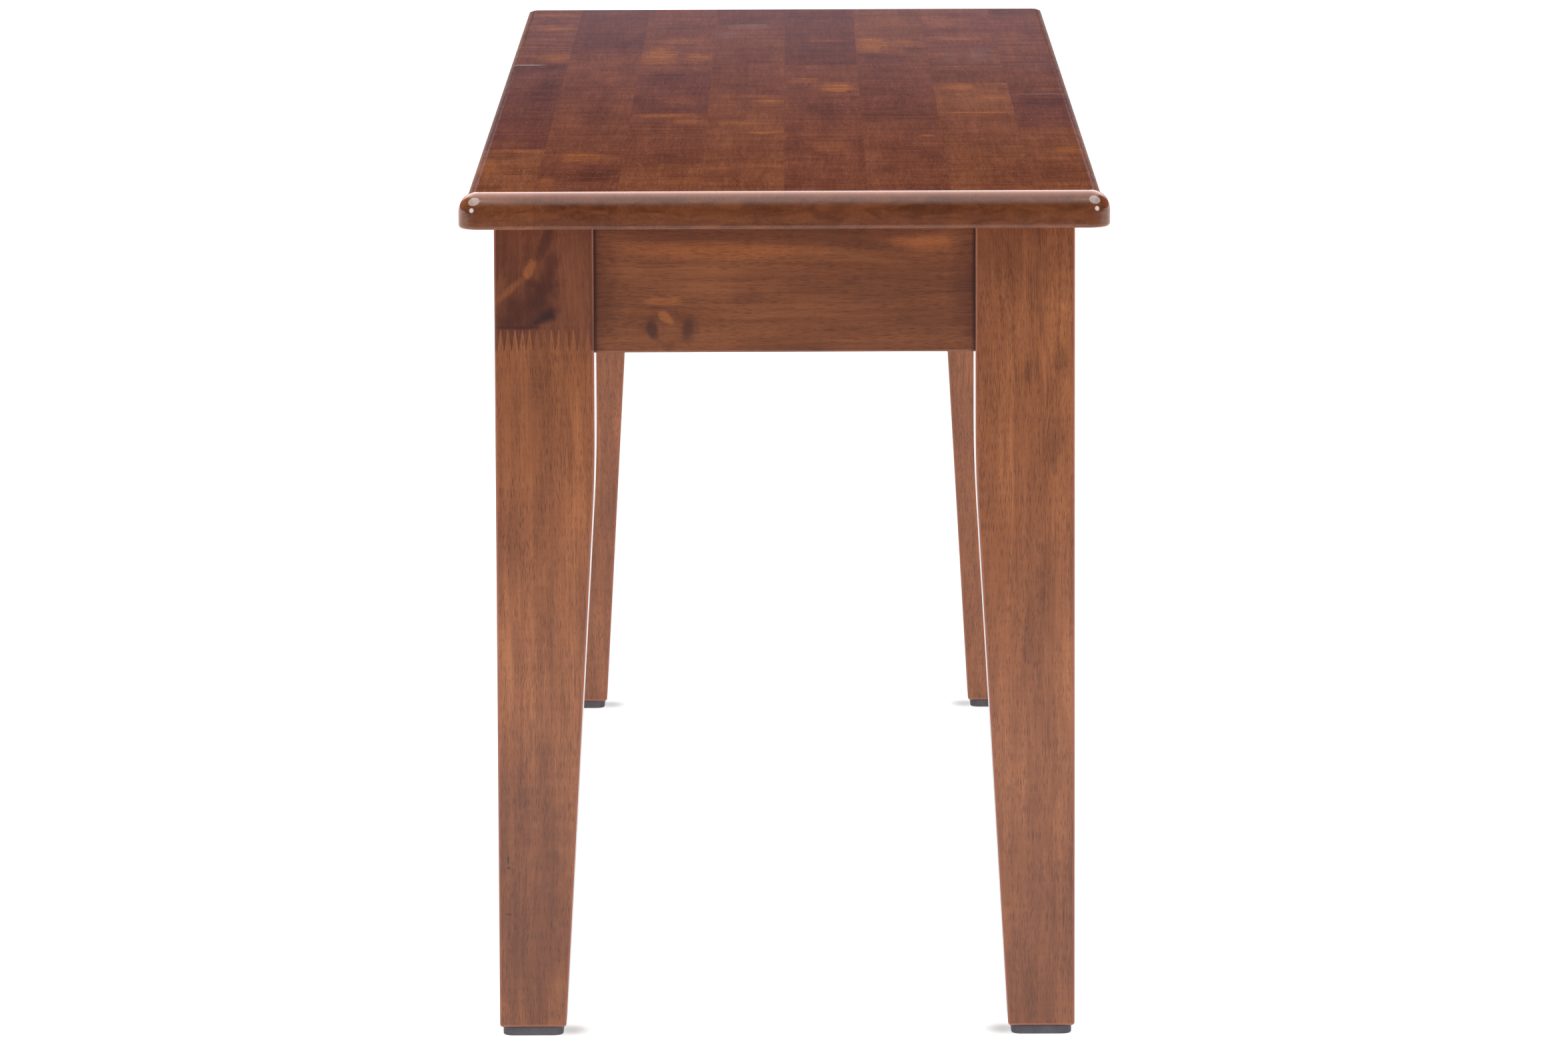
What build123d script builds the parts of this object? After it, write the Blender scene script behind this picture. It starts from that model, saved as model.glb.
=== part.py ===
from build123d import *
import math
import os

# Backless dining bench in stained hardwood: an edge-glued seat of short staves with a rounded
# edge, on square legs that taper on their two inner faces, joined by rails and corner blocks.
# Millimetres. +X runs along the bench, +Z is up, and the origin is on the floor, centred under
# the seat. End A is at +X and end B at -X, left is -Y and right is +Y.

# Overall sizes
bench_height = 470.0
seat_length = 1219.0
seat_width = 355.6
seat_thickness = 20.0

# Seat edge: a quarter round that stops short of the top in a crisp arris
edge_round_radius = 11.2
arris_setback = 1.7
corner_extra_radius = 0.8
lower_edge_radius = 2.3

# Seat staves: equal strips side by side, of which the outer two are trimmed to the seat's width.
# From left to right, each is cut into staves at these shares of the length from end A
panel_trim = 4.2
stave_end_shares = (
    (0.203, 0.651),
    (0.131, 0.714),
    (0.135, 0.381, 0.610),
    (0.293, 0.477, 0.893),
    (0.467, 0.645),
    (0.337, 0.710),
    (0.374, 0.538, 0.614, 0.788),
    (0.303, 0.477),
)

# Legs
seat_overhang = 19.0
leg_square = 54.5
foot_square = 36.7
leg_block_length = 135.0
taper_blend_radius = 850.0
leg_arris_chamfer = 1.2
foot_chamfer = 1.4
leg_flat_depth = 10.0

# Finger joint that lengthens the left leg of end A
finger_drop = 56.8
finger_length = 11.4
finger_pitch = 3.98
finger_tip_width = 0.5

# Foot pads
pad_thickness = 5.0
pad_inset = 1.7
pad_corner_radius = 6.0

# Rails, cross brace and cleats
rail_height = 70.0
rail_thickness = 20.0
rail_reveal = 4.0
rail_arris_chamfer = 1.0
brace_height = 50.0
brace_thickness = 20.0
cleat_square = 20.0
cleat_gap = 8.0

# Corner blocks
block_thickness = 25.0
block_height = 48.0
block_arris_chamfer = 1.5

# Dowels, bolts and screws have flats in place of a true round: fewer on those hidden in the wood
hidden_sides = 8
shown_sides = 12

# Dowels
dowel_radius = 4.0
dowel_depth = 15.0
dowel_spacing = 40.0
brace_dowel_depth = 12.0
brace_dowel_spacing = 26.0

# Hanger bolts with washers and nuts
bolt_radius = 4.0
bolt_depth = 36.0
bolt_point_length = 7.0
bolt_point_radius = 1.2
bolt_spacing = 24.0
bolt_end_length = 4.0
bolt_end_chamfer = 0.8
washer_radius = 8.5
washer_thickness = 1.6
nut_width = 13.0
nut_height = 6.5

# Wood screws
screw_head_radius = 4.0
screw_head_height = 2.6
screw_shank_radius = 2.0
screw_point_length = 5.0
screw_point_radius = 0.5
block_screw_length = 27.0
block_screw_grip = 13.0
seat_screw_length = 32.0
brace_screw_grip = 20.0
brace_screw_share = 0.45
rail_screw_shares = (0.12, 0.88)
seat_screw_shares = (0.38, 0.78)

# Clearance of the holes, and the overrun of cuts
hole_clearance = 0.1
cut_overrun = 5.0

# Places worked out from the sizes above
seat_under_z = bench_height - seat_thickness
seat_corner_radius = edge_round_radius + corner_extra_radius
leg_out_x = seat_length / 2 - seat_overhang
leg_out_y = seat_width / 2 - seat_overhang
leg_in_x = leg_out_x - leg_square
leg_in_y = leg_out_y - leg_square
rail_out_x = leg_out_x - rail_reveal
rail_out_y = leg_out_y - rail_reveal
rail_in_x = rail_out_x - rail_thickness
rail_in_y = rail_out_y - rail_thickness
rail_under_z = seat_under_z - rail_height
rail_mid_z = seat_under_z - rail_height / 2
cleat_under_z = seat_under_z - cleat_square

# A corner block lies across each corner, on a flat cut on the leg's inner corner. On that flat
# x + y is flat_sum, and on the block's far face it is block_sum
flat_sum = leg_in_x + leg_in_y + leg_flat_depth
block_sum = flat_sum - block_thickness * math.sqrt(2)
block_mid_sum = (flat_sum + block_sum) / 2

towards_x = Vector(1, 0, 0)
towards_y = Vector(0, 1, 0)
towards_corner = Vector(1, 1, 0)
upwards = Vector(0, 0, 1)


def placed(shape, origin, direction):
    """Moves a shape made at the origin along +Z to an origin and a direction."""
    return Plane(origin=origin, z_dir=direction).location * shape


def bar(sides, sections):
    """A straight bar along Z through regular polygons given as (radius, height)."""
    rings = []
    for radius, z in sections:
        turns = [2 * math.pi * i / sides for i in range(sides)]
        rings.append([(radius * math.cos(t), radius * math.sin(t), z) for t in turns])
    outlines = [rings[0], rings[-1]]
    for low, high in zip(rings, rings[1:]):
        for i in range(sides):
            outlines.append([low[i - 1], low[i], high[i], high[i - 1]])
    return Solid(Shell([Face(Wire.make_polygon(outline)) for outline in outlines]))


def box_between(low, high):
    """A box from its lowest to its highest corner."""
    size = [b - a for a, b in zip(low, high)]
    return Pos(*low) * Box(*size, align=(Align.MIN, Align.MIN, Align.MIN))


def both_sides(shapes):
    """Copies the pieces of the right side to the left."""
    return list(shapes) + [shape.mirror(Plane.XZ) for shape in shapes]


def both_ends(shapes):
    """Copies the pieces of end A to end B."""
    return list(shapes) + [shape.mirror(Plane.YZ) for shape in shapes]


def all_corners(shapes):
    """Copies the pieces of end A's right corner to all corners, in the order of corner_names."""
    return both_ends(both_sides(shapes))


corner_names = ("a_right", "a_left", "b_right", "b_left")


# Fasteners are made at the origin, pointing along +Z. A grown one is the hole that it sits in

def screw(length, grow=0.0):
    return bar(hidden_sides, [
        (screw_head_radius + grow, -grow),
        (screw_shank_radius + grow, screw_head_height),
        (screw_shank_radius + grow, length - screw_point_length),
        (screw_point_radius + grow, length + grow),
    ])


def dowel(length, grow=0.0):
    radius = dowel_radius + grow
    return bar(hidden_sides, [(radius, -grow), (radius, length + grow)])


def hanger_bolt(grow=0.0):
    """Points into the leg, with the leg's flat at Z = 0 and the block on the -Z side."""
    free_end = block_thickness + washer_thickness + nut_height + bolt_end_length
    return bar(shown_sides, [
        (bolt_radius + grow - bolt_end_chamfer, -free_end),
        (bolt_radius + grow, bolt_end_chamfer - free_end),
        (bolt_radius + grow, bolt_depth - bolt_point_length),
        (bolt_point_radius + grow, bolt_depth + grow),
    ])


def bolt_clearance_bar():
    radius = bolt_radius + hole_clearance
    return bar(shown_sides, [(radius, -2 * block_thickness), (radius, block_thickness)])


def washer():
    top_z = -block_thickness
    blank = bar(shown_sides, [(washer_radius, top_z - washer_thickness), (washer_radius, top_z)])
    return blank - bolt_clearance_bar()


def nut():
    top_z = -block_thickness - washer_thickness
    corner_radius = nut_width / math.sqrt(3)
    blank = bar(6, [(corner_radius, top_z - nut_height), (corner_radius, top_z)])
    return blank - bolt_clearance_bar()


def screw_well(depth):
    """The straight hole behind a sunk screw head."""
    radius = screw_head_radius + hole_clearance
    return bar(hidden_sides, [(radius, -depth), (radius, 0)])


# Where the fasteners go, each as (origin, direction), at the right corner of end A

def rail_dowel_seats():
    rail_mid_x = rail_out_x - rail_thickness / 2
    rail_mid_y = rail_out_y - rail_thickness / 2
    seats = []
    for z in (rail_mid_z - dowel_spacing / 2, rail_mid_z + dowel_spacing / 2):
        seats.append(((leg_in_x - dowel_depth, rail_mid_y, z), towards_x))
        seats.append(((rail_mid_x, leg_in_y - dowel_depth, z), towards_y))
    return seats


def bolt_seats():
    flat_mid = (leg_in_x + leg_flat_depth / 2, leg_in_y + leg_flat_depth / 2)
    return [
        ((*flat_mid, rail_mid_z - bolt_spacing / 2), towards_corner),
        ((*flat_mid, rail_mid_z + bolt_spacing / 2), towards_corner),
    ]


def block_screw_seats():
    along_x = block_mid_sum - rail_in_y
    along_y = block_mid_sum - rail_in_x
    return [
        ((along_x, rail_in_y - block_screw_grip, rail_mid_z), towards_y),
        ((rail_in_x - block_screw_grip, along_y, rail_mid_z), towards_x),
    ]


cleat_near_x = brace_thickness / 2 + cleat_gap
cleat_far_x = block_sum - rail_in_y - cleat_gap


def along_cleat(share):
    return cleat_near_x + share * (cleat_far_x - cleat_near_x)


def rail_screw_seats():
    z = seat_under_z - cleat_square / 2
    return [((along_cleat(s), rail_in_y - cleat_square, z), towards_y) for s in rail_screw_shares]


def seat_screw_seats():
    y = rail_in_y - cleat_square / 2
    return [((along_cleat(s), y, cleat_under_z), upwards) for s in seat_screw_shares]


brace_dowel_seats = [
    ((0, rail_in_y - brace_dowel_depth, seat_under_z - brace_height / 2 + offset), towards_y)
    for offset in (-brace_dowel_spacing / 2, brace_dowel_spacing / 2)
]
brace_screw_seat = ((0, brace_screw_share * rail_in_y, seat_under_z - brace_screw_grip), upwards)


def set_in(make, seats, *sizes):
    """Makes one fastener for each seat."""
    return [placed(make(*sizes), *seat) for seat in seats]


# Seat

def seat_blank():
    """The whole seat before it is cut into staves."""
    lift = edge_round_radius - math.sqrt(edge_round_radius ** 2 - arris_setback ** 2)
    plan = RectangleRounded(seat_length, seat_width, seat_corner_radius)
    blank = extrude(Pos(0, 0, seat_under_z) * plan, seat_thickness + lift)
    blank = fillet(blank.faces().sort_by(Axis.Z)[-1].edges(), edge_round_radius)
    blank = fillet(blank.faces().sort_by(Axis.Z)[0].edges(), lower_edge_radius)
    keep = box_between(
        (-seat_length, -seat_width, seat_under_z), (seat_length, seat_width, bench_height)
    )
    return blank & keep


def seat_strips(holes):
    """Strips from left to right, each a group of staves that meet end to end."""
    blank = seat_blank()
    count = len(stave_end_shares)
    strip_width = (seat_width + 2 * panel_trim) / count
    glue_lines = [strip_width * (i - count / 2) for i in range(1, count)]
    lines = [-seat_width / 2] + glue_lines + [seat_width / 2]
    strips = []
    for i, shares in enumerate(stave_end_shares):
        ends = [0.0] + list(shares) + [1.0]
        staves = []
        for near, far in zip(ends, ends[1:]):
            low = (seat_length * (0.5 - far), lines[i], seat_under_z)
            high = (seat_length * (0.5 - near), lines[i + 1], bench_height)
            stave = (blank & box_between(low, high)) - holes
            staves.append(stave.solid())
        strips.append(Compound(staves))
    return strips


# Legs

def leg_side_view(straight_out, straight_in, foot_in):
    """Straight outside. Inside a straight block, then an arc, then a straight taper."""
    bend_z = seat_under_z - leg_block_length
    slope = math.atan2(foot_in - straight_in, bend_z - pad_thickness)
    reach = taper_blend_radius * math.tan(slope / 2)
    arc_top = (straight_in, bend_z + reach)
    arc_end = (straight_in + reach * math.sin(slope), bend_z - reach * math.cos(slope))
    return make_face([
        Line((straight_in, seat_under_z), arc_top),
        TangentArc(arc_top, arc_end, tangent=(0, -1)),
        Line(arc_end, (foot_in, pad_thickness)),
        Line((foot_in, pad_thickness), (straight_out, pad_thickness)),
        Line((straight_out, pad_thickness), (straight_out, seat_under_z)),
        Line((straight_out, seat_under_z), (straight_in, seat_under_z)),
    ])


def leg():
    """The right leg of end A, with its flat and without its holes."""
    view_y = Plane.XZ * leg_side_view(leg_out_x, leg_in_x, leg_out_x - foot_square)
    view_x = Plane.YZ * leg_side_view(leg_out_y, leg_in_y, leg_out_y - foot_square)
    body = extrude(view_y, seat_width, both=True) & extrude(view_x, seat_length, both=True)
    arrises = body.edges().filter_by(lambda edge: edge.bounding_box().size.Z > pad_thickness)
    body = chamfer(arrises, leg_arris_chamfer)
    foot = body.faces().sort_by(Axis.Z)[0]
    body = chamfer(foot.edges(), foot_chamfer)
    low_x = leg_in_x - cut_overrun
    low_y = leg_in_y - cut_overrun
    corner = Polyline(
        (low_x, low_y), (flat_sum - low_y, low_y), (low_x, flat_sum - low_x), close=True
    )
    return body - extrude(Pos(0, 0, rail_under_z) * make_face(corner), rail_height)


def above_finger_joint():
    """All of the left leg of end A that lies above the zigzag of its finger joint."""
    tip_z = seat_under_z - finger_drop
    root_z = tip_z - finger_length
    half_tip = finger_tip_width / 2
    half_pitch = finger_pitch / 2
    count = int(leg_square / finger_pitch)
    first_tip = (leg_square - finger_pitch * (count - 1)) / 2 - leg_out_y
    outer_y = -leg_out_y - cut_overrun
    inner_y = -leg_in_y + cut_overrun
    points = [(outer_y, root_z), (first_tip - half_pitch + half_tip, root_z)]
    for i in range(count):
        y = first_tip + i * finger_pitch
        points.append((y - half_tip, tip_z))
        points.append((y + half_tip, tip_z))
        points.append((y + half_pitch - half_tip, root_z))
        points.append((y + half_pitch + half_tip, root_z))
    points[-1] = (inner_y, root_z)
    points.append((inner_y, seat_under_z + cut_overrun))
    points.append((outer_y, seat_under_z + cut_overrun))
    zigzag = make_face(Plane.YZ * Polyline(*points, close=True))
    return Pos(leg_in_x - cut_overrun, 0, 0) * extrude(zigzag, leg_square + 2 * cut_overrun)


def foot_pad():
    side = foot_square - 2 * pad_inset
    plan = RectangleRounded(side, side, pad_corner_radius)
    centre = Pos(leg_out_x - foot_square / 2, leg_out_y - foot_square / 2, 0)
    return extrude(centre * plan, pad_thickness)


# Frame

def side_rail():
    rail = box_between((-leg_in_x, rail_in_y, rail_under_z), (leg_in_x, rail_out_y, seat_under_z))
    long_edges = rail.edges().filter_by(Axis.X).group_by(Axis.Z)[0]
    return chamfer(long_edges, rail_arris_chamfer)


def end_rail():
    rail = box_between((rail_in_x, -leg_in_y, rail_under_z), (rail_out_x, leg_in_y, seat_under_z))
    long_edges = rail.edges().filter_by(Axis.Y).group_by(Axis.Z)[0]
    return chamfer(long_edges, rail_arris_chamfer)


def cross_brace():
    half = brace_thickness / 2
    brace = box_between(
        (-half, -rail_in_y, seat_under_z - brace_height), (half, rail_in_y, seat_under_z)
    )
    long_edges = brace.edges().filter_by(Axis.Y).group_by(Axis.Z)[0]
    return chamfer(long_edges, rail_arris_chamfer)


def cleat():
    piece = box_between(
        (cleat_near_x, rail_in_y - cleat_square, cleat_under_z),
        (cleat_far_x, rail_in_y, seat_under_z),
    )
    free_edge = piece.edges().filter_by(Axis.X).group_by(Axis.Z)[0].sort_by(Axis.Y)[0]
    return chamfer(free_edge, rail_arris_chamfer)


def corner_block():
    """Mitred at both ends to lie flat on the two rails."""
    outline = Polyline(
        (flat_sum - rail_in_y, rail_in_y),
        (rail_in_x, flat_sum - rail_in_x),
        (rail_in_x, block_sum - rail_in_x),
        (block_sum - rail_in_y, rail_in_y),
        close=True,
    )
    low_z = rail_mid_z - block_height / 2
    block = extrude(Pos(0, 0, low_z) * make_face(outline), block_height)
    far_face = block.faces().sort_by(Axis((0, 0, 0), towards_corner))[0]
    return chamfer(far_face.edges().filter_by(Plane.XY), block_arris_chamfer)


# Assembly

def build():
    dowels = set_in(dowel, rail_dowel_seats(), 2 * dowel_depth)
    dowel_holes = set_in(dowel, rail_dowel_seats(), 2 * dowel_depth, hole_clearance)
    bolts = set_in(hanger_bolt, bolt_seats())
    bolt_holes = set_in(hanger_bolt, bolt_seats(), hole_clearance)
    washers = set_in(washer, bolt_seats())
    nuts = set_in(nut, bolt_seats())

    block_screws = set_in(screw, block_screw_seats(), block_screw_length)
    block_screw_holes = set_in(screw, block_screw_seats(), block_screw_length, hole_clearance)
    block_screw_wells = set_in(screw_well, block_screw_seats(), block_thickness)
    rail_screws = set_in(screw, rail_screw_seats(), seat_screw_length)
    rail_screw_holes = set_in(screw, rail_screw_seats(), seat_screw_length, hole_clearance)
    seat_screws = set_in(screw, seat_screw_seats(), seat_screw_length)
    seat_screw_holes = set_in(screw, seat_screw_seats(), seat_screw_length, hole_clearance)

    brace_dowels = set_in(dowel, brace_dowel_seats, 2 * brace_dowel_depth)
    brace_dowel_holes = set_in(dowel, brace_dowel_seats, 2 * brace_dowel_depth, hole_clearance)
    brace_screw = placed(screw(seat_screw_length), *brace_screw_seat)
    brace_screw_hole = placed(screw(seat_screw_length, hole_clearance), *brace_screw_seat)
    brace_screw_well = placed(screw_well(brace_height), *brace_screw_seat)

    nodes = {}
    seat_holes = all_corners(seat_screw_holes) + both_sides([brace_screw_hole])
    for i, strip in enumerate(seat_strips(seat_holes), start=1):
        nodes[f"seat_strip_{i}"] = strip

    for name, piece in zip(corner_names, all_corners([leg() - dowel_holes - bolt_holes])):
        nodes[f"leg_{name}"] = piece
    upper = above_finger_joint()
    nodes["leg_a_left_upper"] = nodes["leg_a_left"] & upper
    nodes["leg_a_left"] = nodes["leg_a_left"] - upper

    side_holes = both_ends(dowel_holes + block_screw_holes + rail_screw_holes) + brace_dowel_holes
    for name, piece in zip(("right", "left"), both_sides([side_rail() - side_holes])):
        nodes[f"side_rail_{name}"] = piece
    end_holes = both_sides(dowel_holes + block_screw_holes)
    for name, piece in zip(("a", "b"), both_ends([end_rail() - end_holes])):
        nodes[f"end_rail_{name}"] = piece
    brace_holes = both_sides(brace_dowel_holes + [brace_screw_hole, brace_screw_well])
    nodes["cross_brace"] = cross_brace() - brace_holes

    block = corner_block() - bolt_holes - block_screw_holes - block_screw_wells
    held_cleat = cleat() - rail_screw_holes - seat_screw_holes
    for name, piece in zip(corner_names, all_corners([block])):
        nodes[f"corner_block_{name}"] = piece
    for name, piece in zip(corner_names, all_corners([held_cleat])):
        nodes[f"seat_cleat_{name}"] = piece
    for name, piece in zip(corner_names, all_corners([foot_pad()])):
        nodes[f"foot_pad_{name}"] = piece

    nodes["rail_dowels"] = Compound(all_corners(dowels))
    nodes["brace_dowels"] = Compound(both_sides(brace_dowels))
    nodes["hanger_bolts"] = Compound(all_corners(bolts))
    nodes["bolt_washers"] = Compound(all_corners(washers))
    nodes["bolt_nuts"] = Compound(all_corners(nuts))
    nodes["block_screws"] = Compound(all_corners(block_screws))
    nodes["cleat_screws"] = Compound(all_corners(rail_screws))
    nodes["seat_screws"] = Compound(all_corners(seat_screws) + both_sides([brace_screw]))
    return nodes


os.makedirs("parts", exist_ok=True)
for node, shape in build().items():
    export_step(shape, f"parts/{node}.step")
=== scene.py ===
import math
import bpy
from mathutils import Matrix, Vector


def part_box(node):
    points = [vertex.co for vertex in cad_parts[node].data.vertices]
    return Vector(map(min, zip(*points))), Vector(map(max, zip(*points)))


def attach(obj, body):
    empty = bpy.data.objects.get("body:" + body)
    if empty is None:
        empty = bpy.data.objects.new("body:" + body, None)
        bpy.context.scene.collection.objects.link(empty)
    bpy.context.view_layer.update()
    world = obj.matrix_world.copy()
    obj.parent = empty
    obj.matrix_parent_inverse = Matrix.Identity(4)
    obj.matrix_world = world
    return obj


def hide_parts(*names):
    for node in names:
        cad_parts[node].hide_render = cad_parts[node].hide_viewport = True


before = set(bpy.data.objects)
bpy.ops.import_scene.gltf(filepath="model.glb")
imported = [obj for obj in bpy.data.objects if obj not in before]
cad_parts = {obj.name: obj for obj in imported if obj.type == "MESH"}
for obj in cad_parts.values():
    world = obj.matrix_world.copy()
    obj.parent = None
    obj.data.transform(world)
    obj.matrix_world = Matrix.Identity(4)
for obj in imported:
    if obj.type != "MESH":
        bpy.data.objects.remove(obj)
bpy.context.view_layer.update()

from types import SimpleNamespace

import bmesh
import bpy
from mathutils import Matrix, Vector

# Backless dining bench in stained hardwood. Metres, +X along the bench to the end that the camera
# faces (end A), +Z up, origin on the floor. Left is -Y and right is +Y. Sizes come from the frame
# where it gives them and otherwise are the ones that the part has.

MM = 0.001
CORNERS = {"a_right": (1, 1), "a_left": (1, -1), "b_right": (-1, 1), "b_left": (-1, -1)}
ALONG_X, ALONG_Y, ALONG_Z = Vector((1, 0, 0)), Vector((0, 1, 0)), Vector((0, 0, 1))

# Seat
STRIP_NODES = [f"seat_strip_{i}" for i in range(1, 9)]
STRIP_BOXES = [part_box(node) for node in STRIP_NODES]
MIDDLE_LOW, MIDDLE_HIGH = STRIP_BOXES[3]
SEAT_END = MIDDLE_HIGH.x
SEAT_SIDE = STRIP_BOXES[-1][1].y
SEAT_UNDER = MIDDLE_LOW.z
SEAT_TOP = MIDDLE_HIGH.z
SEAT_LENGTH = 2 * SEAT_END
EDGE_ROUND = 11.2 * MM
ARRIS_SETBACK = 1.7 * MM
SEAT_CORNER = 12.0 * MM
LOWER_ROUND = 2.3 * MM
SEAT_CORNER_STEPS, SEAT_SIDE_STEPS = 24, 220
LOWER_ROUND_STEPS, EDGE_ROUND_STEPS = 6, 26
# The edge gets paler wear and a painted highlight from this far below the top, and no further in than this
# past the arris
WEAR_AND_HIGHLIGHT_DEPTH = 3.2 * MM
WEAR_AND_HIGHLIGHT_INSET = 0.6 * MM
# The arris of a long side wanders inwards this far, in waves of (length in millimetres, start)
SANDING = 0.45 * MM
SANDING_WAVES = ((5.3, 0.0), (8.9, 1.3), (3.7, 4.1), (14.0, 2.2))

# Legs
LEG_LOW, LEG_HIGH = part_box("leg_a_right")
LEG_OUT = Vector((LEG_HIGH.x, LEG_HIGH.y))
LEG_SQUARE = LEG_HIGH.x - LEG_LOW.x
FOOT_SQUARE = 36.7 * MM
PAD_TOP = LEG_LOW.z
RAIL_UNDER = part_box("end_rail_a")[0].z
BLOCK_LENGTH = 135.0 * MM
TAPER_BLEND = 850.0 * MM
BEND_Z = SEAT_UNDER - BLOCK_LENGTH
TAPER_ANGLE = math.atan2(LEG_SQUARE - FOOT_SQUARE, BEND_Z - PAD_TOP)
ARC_TOP_Z = BEND_Z + TAPER_BLEND * math.tan(TAPER_ANGLE / 2)
LEG_ARRIS = 1.4 * MM
LEAST_ARRIS = 0.4 * MM
FOOT_ROUND = 1.8 * MM
FOOT_WEAR_AND_HIGHLIGHT = 0.6
LEG_FLAT = 10.0 * MM
LEG_CORNER_STEPS, FOOT_ROUND_STEPS, TAPER_ARC_STEPS = 6, 5, 14
# The place of the corner towards the bench's middle in a ring of the right leg of end A
INNER_CORNER = 2

# Finger joint in the left leg of end A
FINGER_DROP = 56.8 * MM
FINGER_LENGTH = 11.4 * MM
FINGER_PITCH = 3.98 * MM
FINGER_TIP = 0.5 * MM

# Foot pads
PAD_CORNER = 6.0 * MM
PAD_FLOOR_ROUND = 0.9 * MM
PAD_TOP_ROUND = 0.3 * MM
PAD_CORNER_STEPS, PAD_ROUND_STEPS = 8, 4

# Meshes

ARRIS = "arris"
SHARP_ANGLE = math.radians(24)
SAME_PLACE = 1e-6
CUT_REACH = 1e-7


def mesh_object(name, bm, materials, weighted=True):
    """Makes an object from a bmesh, smooth except across sharp edges."""
    bm.normal_update()
    for face in bm.faces:
        face.smooth = True
    for edge in bm.edges:
        if len(edge.link_faces) == 2 and edge.calc_face_angle(0.0) > SHARP_ANGLE:
            edge.smooth = False
    mesh = bpy.data.meshes.new(name)
    bm.to_mesh(mesh)
    bm.free()
    for material in materials:
        mesh.materials.append(material)
    piece = bpy.data.objects.new(name, mesh)
    bpy.context.scene.collection.objects.link(piece)
    if weighted:
        modifier = piece.modifiers.new("normals", "WEIGHTED_NORMAL")
        modifier.keep_sharp = True
        modifier.weight = 100
    return piece


def stands_for(piece, node):
    """The piece is part of the bench, in place of this node of the part."""
    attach(piece, "root")
    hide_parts(node)


def rounded_corners(half_x, half_y, radius, steps):
    """A rounded rectangle round the origin, as (x, y, share of the way round a corner)."""
    points = []
    for quarter, (sx, sy) in enumerate(((1, 1), (-1, 1), (-1, -1), (1, -1))):
        centre = Vector((sx * (half_x - radius), sy * (half_y - radius)))
        for step in range(steps + 1):
            turn = math.radians(90 * (quarter + step / steps))
            x = centre.x + radius * math.cos(turn)
            y = centre.y + radius * math.sin(turn)
            points.append((x, y, step / steps))
    return points


def quarter_round(radius, z, steps):
    """A quarter round that widens upwards from a height, as (inset, height)."""
    turns = [math.radians(90 * i / steps) for i in range(steps + 1)]
    return [(radius * (1 - math.sin(turn)), z + radius * (1 - math.cos(turn))) for turn in turns]


def skin(rings, arris_of=None):
    """Quads from ring to ring, closed at both ends. A ring is a list of points."""
    bm = bmesh.new()
    layer = bm.verts.layers.float.new(ARRIS)
    made = []
    for r, ring in enumerate(rings):
        verts = []
        for i, point in enumerate(ring):
            vert = bm.verts.new(point)
            vert[layer] = arris_of(r, i) if arris_of else 0.0
            verts.append(vert)
        made.append(verts)
    for low, high in zip(made, made[1:]):
        for i in range(len(low)):
            bm.faces.new((low[i - 1], low[i], high[i], high[i - 1]))
    bm.faces.new(list(reversed(made[0])))
    bm.faces.new(made[-1])
    bmesh.ops.recalc_face_normals(bm, faces=bm.faces[:])
    return bm


def cut_beyond(bm, point, outward):
    """Takes away what lies outward of a point, and closes the cut."""
    geometry = bm.verts[:] + bm.edges[:] + bm.faces[:]
    cut = bmesh.ops.bisect_plane(
        bm, geom=geometry, dist=CUT_REACH, plane_co=point, plane_no=outward, clear_outer=True)
    edges = [item for item in cut["geom_cut"] if isinstance(item, bmesh.types.BMEdge)]
    if edges:
        bmesh.ops.contextual_create(bm, geom=edges)


# Materials

# A Mix node's sockets for colours. Its other sockets have the same names
MIX_SHARE, MIX_FIRST, MIX_SECOND, MIX_RESULT = 0, 6, 7, 2


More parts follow.
